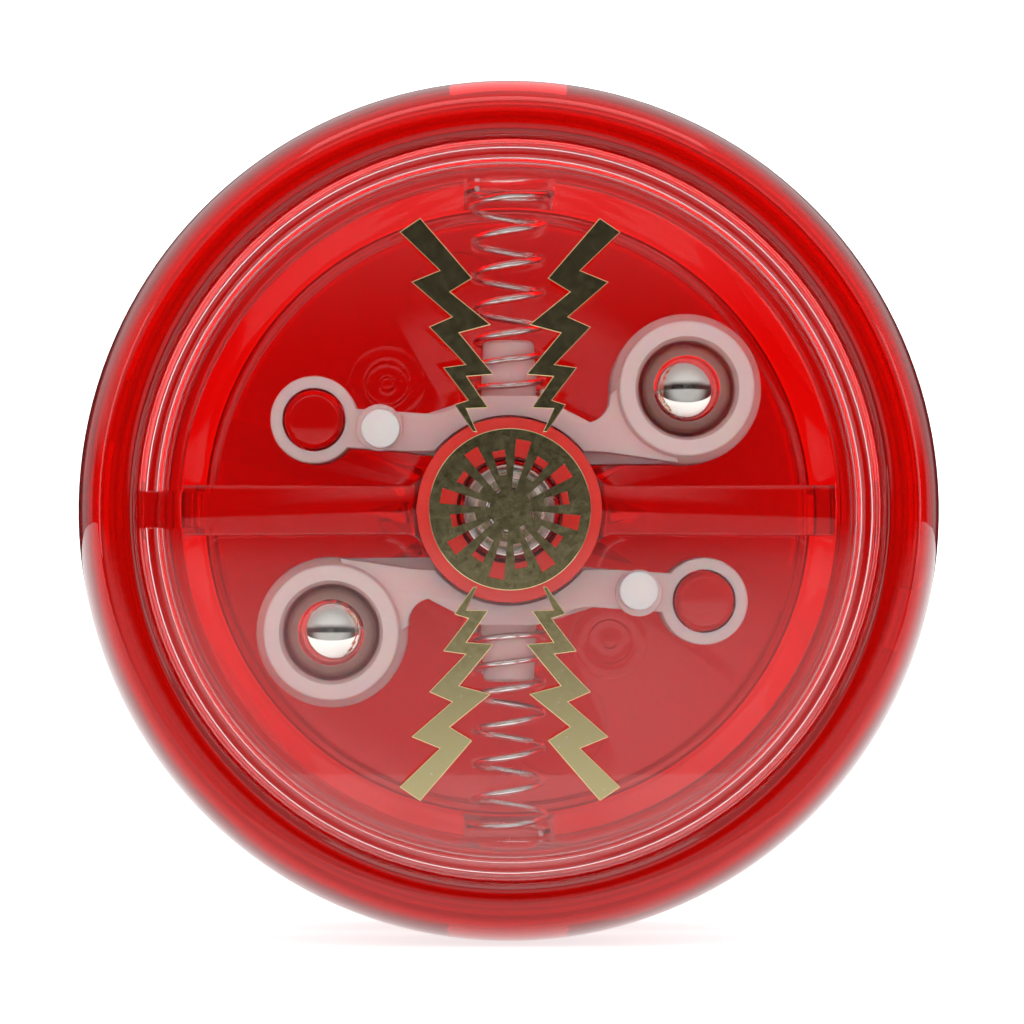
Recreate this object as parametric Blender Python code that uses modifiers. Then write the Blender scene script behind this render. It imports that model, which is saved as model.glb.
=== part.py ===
"""A yo-yo with a centrifugal clutch, standing on its rims with its axle along Y.

The clutch side faces -Y. Sizes are in millimetres and are turned into metres where a mesh is
made. Each side is modelled in a frame of its own: x to the right, y up, z outwards along the
axle from the middle of the string gap.
"""

import math

import bmesh
import bpy
from mathutils import Vector

MM = 0.001

# Driving dimensions.
BODY_RADIUS = 28.5
RIM_HEIGHT = 17.2  # from the middle of the string gap to the flat of the rim
GAP_HALF = 2.2
WIDEST_HEIGHT = 8.4  # where a half reaches its full radius
SEGMENTS = 48  # facets of the large round pieces, with one flat side down
FINE_SEGMENTS = 24  # facets of the small round pieces

# Shell.
RIM_FLAT = (24.65, 26.2)  # inner and outer radius of the rim's flat
FACE_EDGE_RADIUS = 23.0  # where the string face starts to round over
FACE_FLARE = 0.15
BURST_RADIUS = 10.2  # outer radius of the sunken starburst ring
BURST_DEPTH = 0.5
BURST_RIDGES = 16
FLOOR_HEIGHT = 4.0
LAND_HEIGHT = 12.7
POCKET_TOP_RADIUS = 21.5
POCKET_FLOOR_RADIUS = 20.6
CAP_WALL_RADIUS = 24.3
CAP_SEAT_HEIGHT = 14.4
GROOVE = (22.7, 23.9)  # inner and outer radius of the groove for the cap's skirt
GROOVE_HEIGHT = 11.4
WELL_RADIUS = 6.3  # the clutch side's opening for the spindle's flange and drum
BOSS_RADIUS = 6.1
BAR_HALF_WIDTH = 1.6
BRIDGE = (9.6, 12.2)  # lower and upper height of the bar that carries the axle's end
BRIDGE_FILLET = 1.5
PLAIN_BOSS_HEIGHT = 9.0
PLAIN_BAR_HEIGHT = 8.5
PLAIN_BAR_TURN = math.radians(15)

# Axle and what runs on it.
AXLE_RADIUS = 1.5
AXLE_FIT = 0.03  # clearance of the pieces fixed on the axle
RUNNING_RADIUS = 1.62  # bore of the pieces that turn on the axle
SLEEVE_RADIUS = 2.6
FLANGE_RADIUS = 6.0
DRUM_RADIUS = 5.0
DRUM_TOP = 9.2
COLLAR_RADIUS = 3.3
COLLAR_RECESS = (3.45, 11.0)  # radius, and height of its floor

# Clutch arm, seen from the clutch side, for the upper one. The lower one is half a turn round.
PIVOT = Vector((-12.9, 6.0))
PIVOT_POST_RADIUS = 1.95
PIVOT_BORE_RADIUS = 2.1
PIVOT_EYE_RADIUS = 2.9
POD = Vector((11.75, 8.06))
POD_RADIUS = 5.0
BALL_RADIUS = 3.0
BALL_HEIGHT = 9.4
ARM_BOTTOM = 4.4
SHOE_TOP = 8.6
DECK_BOTTOM = 6.4
DECK_TOP = 10.6
POD_TOP = 11.3
SHOE_RADIUS = 5.12  # the drum's radius and the faceting clearance
DECK_RELIEF_RADIUS = 6.3
NUB = Vector((-8.44, 5.3))
NUB_RADIUS = 1.27
NUB_TOP = 14.1

# Spring.
SPRING_HEIGHT = 7.6  # of its centreline, along the axle
SPRING_WIRE_RADIUS = 0.225
SPRING_RADIUS = (2.3, 2.6)  # of the coils, and of the flared end coil
SPRING_STEPS = 12  # points a turn
SPRING_RISE = ((0, 7.95), (0.75, 8.3), (2.75, 11.8), (6.75, 20.9), (7.6, 21.42))  # turn, distance from the axle
SEAT_DISTANCE = 21.75
SEAT_HALF_WIDTH = 3.0
PEG_RADIUS = 1.7
PEG_TIP = 11.4

# Cap and foil.
CAP_RADIUS = 24.1
CAP_FACE = (14.5, 15.9)
CAP_SKIRT = (22.9, 23.7)  # inner and outer radius
CAP_SKIRT_END = 11.8
CAP_BEAD = 0.12
GATE_WIDTH = 2.4
FOIL = (15.93, 16.02)
MEDALLION_RADIUS = 5.27

COLOURS = {  # red, green, blue, roughness, metallic
    "red_plastic": (0.72, 0.010, 0.006, 0.12, 0.0),
    "clear_plastic": (0.93, 0.94, 0.94, 0.06, 0.0),
    "natural_nylon": (0.86, 0.82, 0.79, 0.45, 0.0),
    "white_acetal": (0.88, 0.87, 0.84, 0.40, 0.0),
    "spring_steel": (0.66, 0.64, 0.62, 0.22, 1.0),
    "polished_steel": (0.74, 0.73, 0.71, 0.10, 1.0),
    "gold_foil": (0.72, 0.58, 0.26, 0.25, 1.0),
}


def clear_scene():
    for obj in list(bpy.data.objects):
        bpy.data.objects.remove(obj, do_unlink=True)


def new_collection(name):
    made = bpy.data.collections.new(name)
    bpy.context.scene.collection.children.link(made)
    return made


def material(name):
    made = bpy.data.materials.get(name)
    if made is None:
        red, green, blue, roughness, metallic = COLOURS[name]
        made = bpy.data.materials.new(name)
        made.use_nodes = True
        shader = made.node_tree.nodes["Principled BSDF"]
        shader.inputs["Base Color"].default_value = (red, green, blue, 1)
        shader.inputs["Roughness"].default_value = roughness
        shader.inputs["Metallic"].default_value = metallic
    return made


def add(name, mesh, frame, slot, at=(0, 0, 0)):
    """A sub-part in a side's frame, or a cutter where slot is None."""
    obj = bpy.data.objects.new(name, mesh)
    obj.location = Vector(at) * MM
    obj.parent = frame
    if slot:
        mesh.materials.clear()
        mesh.materials.append(material(slot))
        PARTS.objects.link(obj)
    else:
        CUTTERS.objects.link(obj)
        obj.hide_render = True
        obj.display_type = "WIRE"
    return obj


def empty(name, parent=None, at=(0, 0, 0), turn=(0, 0, 0)):
    made = bpy.data.objects.new(name, None)
    made.location = Vector(at) * MM
    made.rotation_euler = turn
    made.parent = parent
    PARTS.objects.link(made)
    return made


def boolean(target, other, operation="DIFFERENCE"):
    modifier = target.modifiers.new(other.name, "BOOLEAN")
    modifier.operation = operation
    modifier.solver = "EXACT"
    modifier.object = other


def baked(obj):
    """The object's evaluated mesh, with doubled points welded, as a new mesh."""
    bpy.context.view_layer.update()
    graph = bpy.context.evaluated_depsgraph_get()
    mesh = bpy.data.meshes.new_from_object(obj.evaluated_get(graph))
    work = bmesh.new()
    work.from_mesh(mesh)
    bmesh.ops.remove_doubles(work, verts=work.verts, dist=0.001 * MM)
    work.to_mesh(mesh)
    work.free()
    return mesh


def arc(centre, radii, start, end, steps):
    """Points on an ellipse from one angle to another, in degrees, both ends included."""
    rx, ry = radii
    angles = [math.radians(start + (end - start) * i / steps) for i in range(steps + 1)]
    return [(centre[0] + rx * math.cos(a), centre[1] + ry * math.sin(a)) for a in angles]


def signed_area(points):
    ring = zip(points, points[1:] + points[:1])
    return sum(a[0] * b[1] - b[0] * a[1] for a, b in ring) / 2


def turned(name, profile, frame, slot, segments=SEGMENTS, at=(0, 0, 0)):
    """A profile of (radius, height) points turned about z. It is closed unless it meets the axis."""
    if signed_area(profile) > 0:
        profile = profile[::-1]
    on_axis = [i for i, point in enumerate(profile) if point[0] == 0]
    if on_axis:
        start = next(i for i in on_axis if profile[i - 1][0] == 0)
        profile = profile[start:] + profile[:start]
    phase = math.pi / segments
    points = [(r * math.cos(phase) * MM, r * math.sin(phase) * MM, h * MM) for r, h in profile]
    count = len(points)
    edges = [(i, (i + 1) % count) for i in range(count - 1 if on_axis else count)]
    mesh = bpy.data.meshes.new(name)
    mesh.from_pydata(points, edges, [])
    obj = add(name, mesh, frame, slot, at)
    screw = obj.modifiers.new("turn", "SCREW")
    screw.angle = 2 * math.pi
    screw.steps = screw.render_steps = segments
    screw.use_merge_vertices = True
    screw.merge_threshold = 0.001 * MM
    return obj


def plate(name, outline, heights, frame, slot, at=(0, 0)):
    """A flat outline filled and extruded between two heights."""
    low, high = heights
    curve = bpy.data.curves.new(name, "CURVE")
    curve.dimensions = "2D"
    curve.fill_mode = "BOTH"
    curve.extrude = (high - low) / 2 * MM
    spline = curve.splines.new("POLY")
    spline.points.add(len(outline) - 1)
    for point, (x, y) in zip(spline.points, outline):
        point.co = (x * MM, y * MM, 0, 1)
    spline.use_cyclic_u = True
    flat = bpy.data.objects.new(name + "_outline", curve)
    CUTTERS.objects.link(flat)
    mesh = baked(flat)
    bpy.data.objects.remove(flat, do_unlink=True)
    return add(name, mesh, frame, slot, (*at, (low + high) / 2))


def rod(name, radius, heights, frame, slot=None, at=(0, 0), segments=FINE_SEGMENTS):
    low, high = heights
    mesh = bpy.data.meshes.new(name)
    work = bmesh.new()
    size = {"radius1": radius * MM, "radius2": radius * MM, "depth": (high - low) * MM}
    bmesh.ops.create_cone(work, cap_ends=True, segments=segments, **size)
    work.to_mesh(mesh)
    work.free()
    return add(name, mesh, frame, slot, (*at, (low + high) / 2))


def box(name, low, high, frame, slot=None):
    mesh = bpy.data.meshes.new(name)
    work = bmesh.new()
    bmesh.ops.create_cube(work, size=MM)
    bmesh.ops.scale(work, verts=work.verts, vec=Vector(high) - Vector(low))
    work.to_mesh(mesh)
    work.free()
    return add(name, mesh, frame, slot, (Vector(low) + Vector(high)) / 2)


def shell_profile(hub):
    """A half's section from its string face round the rim and down to the floor, then the hub's own points."""
    face_edge = GAP_HALF + FACE_FLARE
    waist = (BODY_RADIUS - FACE_EDGE_RADIUS, WIDEST_HEIGHT - face_edge)
    shoulder = (BODY_RADIUS - RIM_FLAT[1], RIM_HEIGHT - WIDEST_HEIGHT)
    return (
        [(BURST_RADIUS - 0.3, GAP_HALF + BURST_DEPTH), (BURST_RADIUS, GAP_HALF)]
        + arc((FACE_EDGE_RADIUS, WIDEST_HEIGHT), waist, -90, 0, 6)
        + arc((RIM_FLAT[1], WIDEST_HEIGHT), shoulder, 15, 90, 5)
        + [
            (RIM_FLAT[0], RIM_HEIGHT),
            (CAP_WALL_RADIUS, RIM_HEIGHT - 0.35),
            (CAP_WALL_RADIUS, CAP_SEAT_HEIGHT),
            (GROOVE[1], CAP_SEAT_HEIGHT),
            (GROOVE[1], GROOVE_HEIGHT),
            (GROOVE[0], GROOVE_HEIGHT),
            (GROOVE[0], LAND_HEIGHT),
            (POCKET_TOP_RADIUS, LAND_HEIGHT),
            (POCKET_FLOOR_RADIUS, FLOOR_HEIGHT + 0.5),
            (POCKET_FLOOR_RADIUS - 0.5, FLOOR_HEIGHT),
        ]
        + hub
    )


def starburst(name, frame):
    """Triangular ridges in the sunken ring, level with the string face, as one tool."""
    inner, outer, half_width = WELL_RADIUS + 0.25, BURST_RADIUS - 0.6, 0.42
    low, high = GAP_HALF * MM, (GAP_HALF + BURST_DEPTH + 0.4) * MM
    points, faces = [], []
    for i in range(BURST_RIDGES):
        turn = 2 * math.pi * i / BURST_RIDGES
        corners = [Vector((inner, -half_width)), Vector((outer, 0)), Vector((inner, half_width))]
        start = len(points)
        for height in (low, high):
            for corner in corners:
                x = corner.x * math.cos(turn) - corner.y * math.sin(turn)
                y = corner.x * math.sin(turn) + corner.y * math.cos(turn)
                points.append((x * MM, y * MM, height))
        faces.append([start + 2, start + 1, start])
        faces.append([start + 3, start + 4, start + 5])
        for j in range(3):
            k = (j + 1) % 3
            faces.append([start + j, start + k, start + 3 + k, start + 3 + j])
    mesh = bpy.data.meshes.new(name)
    mesh.from_pydata(points, [], faces)
    return add(name, mesh, frame, None)


def bridge_outline():
    """The bar across the clutch side with its round boss, and a fillet where they meet."""
    reach = GROOVE[0] - 0.6
    centre_y = BAR_HALF_WIDTH + BRIDGE_FILLET
    centre_x = math.sqrt((BOSS_RADIUS + BRIDGE_FILLET) ** 2 - centre_y**2)
    lean = math.degrees(math.atan2(centre_y, centre_x))
    fillet = arc((centre_x, centre_y), (BRIDGE_FILLET,) * 2, 270, 180 + lean, 3)
    top = fillet + arc((0, 0), (BOSS_RADIUS,) * 2, lean, 90, 6)[1:]
    right_half = [(reach, BAR_HALF_WIDTH + 0.08)] + top
    left_half = [(-x, y) for x, y in reversed(right_half[:-1])]
    upper = right_half + left_half
    return upper + [(x, -y) for x, y in reversed(upper)]


def mould_mark():
    """The raised rings and pip on the pocket floor."""
    low, top, step = FLOOR_HEIGHT - 0.8, FLOOR_HEIGHT + 0.35, FLOOR_HEIGHT + 0.12
    return [(0, low), (2.6, low), (2.6, top), (1.5, top), (1.4, step), (0.5, step), (0.4, top), (0, top)]


def clutch_shell(frame):
    hub = [(WELL_RADIUS, FLOOR_HEIGHT), (WELL_RADIUS, GAP_HALF + BURST_DEPTH)]
    shell = turned("clutch_half_shell", shell_profile(hub), frame, "red_plastic")
    bar_low = FLOOR_HEIGHT - 0.8
    reach = POCKET_TOP_RADIUS + 0.2
    half = BAR_HALF_WIDTH - 0.05
    bar = box("bar", (-reach, -half, bar_low), (reach, half, BRIDGE[0] + 0.4), frame)
    bridge = plate("bridge", bridge_outline(), BRIDGE, frame, None)
    boolean(shell, bar, "UNION")
    boolean(shell, bridge, "UNION")
    boolean(shell, rod("well", WELL_RADIUS, (GAP_HALF - 1, BRIDGE[0]), frame, segments=SEGMENTS))
    for sign, side in ((1, "upper"), (-1, "lower")):
        at = PIVOT * sign
        post = [
            (0, FLOOR_HEIGHT - 0.8),
            (PIVOT_POST_RADIUS, FLOOR_HEIGHT - 0.8),
            (PIVOT_POST_RADIUS, DECK_TOP + 0.2),
            (PIVOT_POST_RADIUS - 0.38, DECK_TOP + 0.6),
            (0, DECK_TOP + 0.6),
        ]
        name = f"{side}_post"
        boolean(shell, turned(name, post, frame, None, FINE_SEGMENTS, (*at, 0)), "UNION")
        seat_y = sorted((sign * 18.5, sign * SEAT_DISTANCE))
        low = (-SEAT_HALF_WIDTH, seat_y[0], FLOOR_HEIGHT + 0.6)
        high = (SEAT_HALF_WIDTH, seat_y[1], LAND_HEIGHT + 1)
        boolean(shell, box(f"{side}_spring_seat", low, high, frame))
    for side, at in (("left", (-8.2, 8.65)), ("right", (6.9, -8.8))):
        boolean(shell, turned(f"{side}_mould_mark", mould_mark(), frame, None, FINE_SEGMENTS, (*at, 0)), "UNION")
    boolean(shell, starburst("clutch_starburst", frame), "UNION")
    boolean(shell, rod("collar_recess", COLLAR_RECESS[0], (COLLAR_RECESS[1], BRIDGE[1] + 1), frame))
    boolean(shell, rod("axle_bore", AXLE_RADIUS + AXLE_FIT, (BRIDGE[0] - 1, BRIDGE[1] + 1), frame))
    return shell


def plain_shell(frame):
    bore = AXLE_RADIUS + AXLE_FIT
    hub = [
        (BOSS_RADIUS, FLOOR_HEIGHT),
        (BOSS_RADIUS, PLAIN_BOSS_HEIGHT),
        (bore, PLAIN_BOSS_HEIGHT),
        (bore, GAP_HALF),
        (FLANGE_RADIUS, GAP_HALF),
        (WELL_RADIUS, GAP_HALF + BURST_DEPTH),
    ]
    shell = turned("plain_half_shell", shell_profile(hub), frame, "red_plastic")
    for i, side in enumerate(("right", "left")):
        turn = PLAIN_BAR_TURN + i * math.pi
        bar_frame = empty(f"plain_{side}_bar_frame", frame, turn=(0, 0, turn))
        low = (BOSS_RADIUS - 0.6, -BAR_HALF_WIDTH, FLOOR_HEIGHT - 0.8)
        high = (POCKET_TOP_RADIUS + 0.2, BAR_HALF_WIDTH, PLAIN_BAR_HEIGHT)
        boolean(shell, box(f"plain_{side}_bar", low, high, bar_frame), "UNION")
    for i, side in enumerate(("first", "second")):
        angle = math.radians(77) + i * math.pi
        at = (15.1 * math.cos(angle), 15.1 * math.sin(angle))
        heights = (FLOOR_HEIGHT - 0.8, FLOOR_HEIGHT + 0.9)
        pad = rod(f"{side}_pad", 3.6, heights, frame, at=at)
        boolean(shell, pad, "UNION")
    boolean(shell, starburst("plain_starburst", frame), "UNION")
    return shell


def cap(name, frame):
    """A clear disc with a snap-in skirt, which is open for a short stretch where it was gated."""
    skirt_in, skirt_out = CAP_SKIRT
    back, face = CAP_FACE
    profile = [
        (0, face),
        (CAP_RADIUS - 0.15, face),
        (CAP_RADIUS, face - 0.15),
        (CAP_RADIUS, back),
        (skirt_out, back),
        (skirt_out, CAP_SKIRT_END + 0.8),
        (skirt_out + CAP_BEAD, CAP_SKIRT_END + 0.4),
        (skirt_out, CAP_SKIRT_END),
        (skirt_in, CAP_SKIRT_END),
        (skirt_in, back),
        (0, back),
    ]
    made = turned(name, profile, frame, "clear_plastic")
    low = (-CAP_RADIUS + 0.2, -GATE_WIDTH / 2, CAP_SKIRT_END - 1)
    high = (-skirt_in + 0.6, GATE_WIDTH / 2, back)
    boolean(made, box(f"{name}_gate", low, high, frame))
    return made


def bolt_outline():
    """The upper left zigzag bolt, widening outwards from its tip at the medallion."""
    tip = [(-2.4, 5.04), (-2.12, 5.0)]
    right = [
        (-2.82, 6.53), (-1.4, 6.58), (-2.79, 8.62), (-1.06, 8.76),
        (-3.28, 11.46), (-1.24, 12.0), (-3.89, 14.14), (-2.45, 15.02),
    ]
    left = [
        (-3.63, 6.81), (-2.73, 7.1), (-4.35, 9.22), (-2.91, 9.42),
        (-5.26, 11.86), (-3.79, 12.51), (-6.41, 14.78), (-4.58, 15.53),
    ]
    end = [(-5.83, 18.94), (-7.18, 18.03)]
    return tip + right + end + left[::-1]


def medallion_windows(name, frame):
    """Radial windows of two lengths through the medallion, as one tool."""
    points, faces = [], []
    count = 16
    for i in range(count):
        turn = 2 * math.pi * (i + 0.5) / count
        inner, outer = (1.35, 4.6) if i % 2 else (2.3, 3.9)
        half = math.pi / count * 0.56
        start = len(points)
        for height in (FOIL[0] - 0.5, FOIL[1] + 0.5):
            for radius, side in ((inner, -1), (outer, -1), (outer, 1), (inner, 1)):
                angle = turn + side * half
                points.append((radius * math.cos(angle) * MM, radius * math.sin(angle) * MM, height * MM))
        faces.append([start + 3, start + 2, start + 1, start])
        faces.append([start + 4, start + 5, start + 6, start + 7])
        for j in range(4):
            k = (j + 1) % 4
            faces.append([start + j, start + k, start + 4 + k, start + 4 + j])
    mesh = bpy.data.meshes.new(name)
    mesh.from_pydata(points, [], faces)
    return add(name, mesh, frame, None)


def foil_medallion(side, frame):
    """The hot-stamped medallion in the middle of a cap, pierced by radial windows."""
    medallion = rod(f"{side}_foil_medallion", MEDALLION_RADIUS, FOIL, frame, "gold_foil", segments=SEGMENTS)
    boolean(medallion, medallion_windows(f"{side}_windows", frame))


def foil_bolts(side, frame):
    """The four hot-stamped bolts round the medallion."""
    outline = bolt_outline()
    corners = (("upper_left", 1, 1), ("upper_right", -1, 1), ("lower_left", 1, -1), ("lower_right", -1, -1))
    for corner, sx, sy in corners:
        mirrored = [(x * sx, y * sy) for x, y in outline]
        plate(f"{side}_foil_bolt_{corner}", mirrored, FOIL, frame, "gold_foil")


def spindle(frame):
    """The sleeve that the string loops round, with its flange and the drum that the shoes grip."""
    profile = [
        (RUNNING_RADIUS, -1.6),
        (SLEEVE_RADIUS, -1.6),
        (SLEEVE_RADIUS, GAP_HALF + 0.1),
        (FLANGE_RADIUS, GAP_HALF + 0.1),
        (FLANGE_RADIUS, 3.6),
        (DRUM_RADIUS, 3.9),
        (DRUM_RADIUS, DRUM_TOP - 0.3),
        (DRUM_RADIUS - 0.3, DRUM_TOP),
        (RUNNING_RADIUS, DRUM_TOP),
    ]
    return turned("spindle_drum", profile, frame, "red_plastic")


def axle_parts(clutch, plain):
    """The steel axle, which joins the halves, and the pieces on its two ends."""
    fit = AXLE_RADIUS + AXLE_FIT
    axle = [
        (0, -12.4),
        (AXLE_RADIUS - 0.3, -12.4),
        (AXLE_RADIUS, -12.1),
        (AXLE_RADIUS, 11.7),
        (AXLE_RADIUS - 0.3, 12.0),
        (0, 12.0),
    ]
    turned("axle", axle, clutch, "polished_steel", FINE_SEGMENTS)
    low = COLLAR_RECESS[1] + 0.05
    collar = [
        (fit, low),
        (COLLAR_RADIUS, low),
        (COLLAR_RADIUS, low + 0.75),
        (COLLAR_RADIUS - 0.35, low + 1.0),
        (2.35, low + 1.0),
        (2.15, low + 0.7),
        (fit, low + 0.7),
    ]
    turned("axle_end_collar", collar, clutch, "polished_steel", 32)
    ring("clutch_thrust_washer", RUNNING_RADIUS, 3.6, (DRUM_TOP + 0.07, BRIDGE[0] - 0.07), clutch, "white_acetal")
    ring("plain_thrust_washer", RUNNING_RADIUS, 2.5, (1.65, GAP_HALF - 0.05), plain, "white_acetal")
    ring("nut_washer", fit, 3.5, (PLAIN_BOSS_HEIGHT + 0.05, PLAIN_BOSS_HEIGHT + 0.5), plain, "polished_steel")
    across_flats = 5.5
    corner_radius = across_flats / 2 / math.cos(math.pi / 6)
    nut_low = PLAIN_BOSS_HEIGHT + 0.55
    nut = rod("axle_nut", corner_radius, (nut_low, nut_low + 2.3), plain, "polished_steel", segments=6)
    boolean(nut, rod("nut_bore", fit, (nut_low - 1, nut_low + 4), plain))


def ring(name, inner, outer, heights, frame, slot):
    low, high = heights
    profile = [(inner, low), (outer, low), (outer, high), (inner, high)]
    return turned(name, profile, frame, slot, FINE_SEGMENTS)


def beam_outline():
    """The arm's deck from the eye to the pod, with the shoulder under the spring."""
    fillet = arc((4.97, 7.5), (1.7, 1.7), 5, -77, 4)
    return (
        [(-12.9, 6.9), (-4.6, 6.35), (-1.95, 7.6), (1.95, 7.6), (3.4, 6.85)]
        + fillet[::-1]
        + [(9.0, 9.5), (11.2, 3.15), (6.1, 3.9), (-6.85, 3.9), (-12.9, 4.3)]
    )


def shoe_outline():
    """The deeper block that reaches in under the boss to the drum."""
    return [
        (-6.85, 3.9),
        (-6.0, 6.3),
        (-1.95, 7.6),
        (1.95, 7.6),
        (5.2, 5.6),
        (8.0, 7.0),
        (11.0, 3.15),
        (5.0, 3.1),
        (3.6, 2.9),
        (-3.9, 2.9),
        (-4.8, 3.7),
    ]


def clutch_arm(frame):
    """One arm in a frame on its pivot: eye, deck, brake shoe, spring peg, spacer nub and ball pod."""
    to_pivot = -PIVOT
    arm = plate("clutch_arm_upper", beam_outline(), (DECK_BOTTOM, DECK_TOP), frame, "natural_nylon", to_pivot)
    pieces = [
        plate("shoe", shoe_outline(), (ARM_BOTTOM, SHOE_TOP), frame, None, to_pivot),
        rod("eye", PIVOT_EYE_RADIUS, (ARM_BOTTOM + 1, DECK_TOP), frame, segments=32),
        rod("nub", NUB_RADIUS, (DECK_TOP - 1, NUB_TOP), frame, at=NUB + to_pivot),
    ]
    pod = [
        (0, ARM_BOTTOM + 0.2),
        (POD_RADIUS - 0.3, ARM_BOTTOM + 0.2),
        (POD_RADIUS, ARM_BOTTOM + 0.6),
        (POD_RADIUS, DECK_TOP - 0.6),
        (POD_RADIUS - 0.25, POD_TOP),
        (0, POD_TOP),
    ]
    pod_at = (*(POD + to_pivot), 0)
    pieces.append(turned("pod", pod, frame, None, 32, pod_at))
    peg = rod("peg", PEG_RADIUS, (0, PEG_TIP - 6.5), frame)
    peg.rotation_euler = (-math.pi / 2, 0, 0)
    peg.location = Vector((*to_pivot, SPRING_HEIGHT)) * MM + Vector((0, (6.5 + PEG_TIP) / 2 * MM, 0))
    pieces.append(peg)
    for piece in pieces:
        boolean(arm, piece, "UNION")
    socket = BALL_RADIUS + 0.2
    rise = math.degrees(math.acos(2.3 / socket))
    pocket = (
        [(0, ARM_BOTTOM - 1), (2.3, ARM_BOTTOM - 1)]
        + arc((0, BALL_HEIGHT), (socket, socket), -rise, 0, 4)
        + [(socket, 10.3), (3.45, POD_TOP + 0.01), (3.45, POD_TOP + 1), (0, POD_TOP + 1)]
    )
    boolean(arm, turned("pocket", pocket, frame, None, FINE_SEGMENTS, pod_at))
    boolean(arm, rod("pivot_bore", PIVOT_BORE_RADIUS, (ARM_BOTTOM - 1, DECK_TOP + 1), frame, segments=32))
    drum_clear = rod("shoe_face", SHOE_RADIUS, (ARM_BOTTOM - 1, DECK_TOP + 1), frame, None, to_pivot, SEGMENTS)
    boolean(arm, drum_clear)
    relief = (SHOE_TOP, DECK_TOP + 1)
    boolean(arm, rod("deck_relief", DECK_RELIEF_RADIUS, relief, frame, None, to_pivot, SEGMENTS))
    return arm


def spring_distance(turn):
    """How far the wire is from the axle after so many turns from its inner end."""
    for (t0, d0), (t1, d1) in zip(SPRING_RISE, SPRING_RISE[1:]):
        if turn <= t1:
            break
    return d0 + (d1 - d0) * (turn - t0) / (t1 - t0)


def spring(name, frame):
    """A compression spring along y, from the arm's shoulder to its seat in the pocket wall."""
    curve = bpy.data.curves.new(name, "CURVE")
    curve.dimensions = "3D"
    curve.bevel_depth = SPRING_WIRE_RADIUS * MM
    curve.bevel_resolution = 2
    curve.use_fill_caps = True
    turns = SPRING_RISE[-1][0]
    flare_from = SPRING_RISE[-2][0] - 1
    count = round(turns * SPRING_STEPS)
    spline = curve.splines.new("POLY")
    spline.points.add(count)
    for i, point in enumerate(spline.points):
        turn = turns * i / count
        flare = max(0.0, (turn - flare_from) / (turns - flare_from))
        radius = SPRING_RADIUS[0] + (SPRING_RADIUS[1] - SPRING_RADIUS[0]) * min(1.0, flare * 1.6)
        angle = -2 * math.pi * turn
        x, z = radius * math.cos(angle), radius * math.sin(angle)
        point.co = (x * MM, spring_distance(turn) * MM, (SPRING_HEIGHT + z) * MM, 1)
    obj = bpy.data.objects.new(name, curve)
    obj.parent = frame
    curve.materials.append(material("spring_steel"))
    PARTS.objects.link(obj)
    return obj


def ball(name, frame):
    mesh = bpy.data.meshes.new(name)
    work = bmesh.new()
    bmesh.ops.create_uvsphere(work, u_segments=20, v_segments=14, radius=BALL_RADIUS * MM)
    work.to_mesh(mesh)
    work.free()
    return add(name, mesh, frame, "polished_steel", (*POD, BALL_HEIGHT))


def clutch(side_frame):
    """Arm, ball and spring, twice, half a turn apart."""
    upper = empty("upper_clutch", side_frame)
    lower = empty("lower_clutch", side_frame, turn=(0, 0, math.pi))
    upper_pivot = empty("upper_arm_pivot", upper, (*PIVOT, 0))
    lower_pivot = empty("lower_arm_pivot", lower, (*PIVOT, 0))
    arm = clutch_arm(upper_pivot)
    twin = add("clutch_arm_lower", baked(arm), lower_pivot, "natural_nylon")
    twin.location = arm.location
    for frame, side in ((upper, "upper"), (lower, "lower")):
        spring(f"clutch_spring_{side}", frame)
        ball(f"weight_ball_{side}", frame)


def smooth_shading():
    for obj in PARTS.objects:
        if obj.type == "MESH":
            obj.data.shade_smooth()
            obj.data.set_sharp_from_angle(angle=math.radians(35))


def build():
    clutch_side = empty("clutch_side", turn=(math.pi / 2, 0, 0))
    plain_side = empty("plain_side", turn=(math.pi / 2, 0, math.pi))
    clutch_shell(clutch_side)
    plain_shell(plain_side)
    cap("clutch_cap", clutch_side)
    cap("plain_cap", plain_side)
    foil_medallion("clutch", clutch_side)
    foil_bolts("clutch", clutch_side)
    foil_medallion("plain", plain_side)
    spindle(clutch_side)
    axle_parts(clutch_side, plain_side)
    clutch(clutch_side)
    smooth_shading()


clear_scene()
PARTS = new_collection("yo_yo")
CUTTERS = new_collection("cutters")
build()
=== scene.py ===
"""Looks of the clutch yo-yo: clear red halves, clear caps, nylon clutch arms, steel and gold foil."""

import math

import bmesh
import bpy
from mathutils import Matrix, Vector


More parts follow.
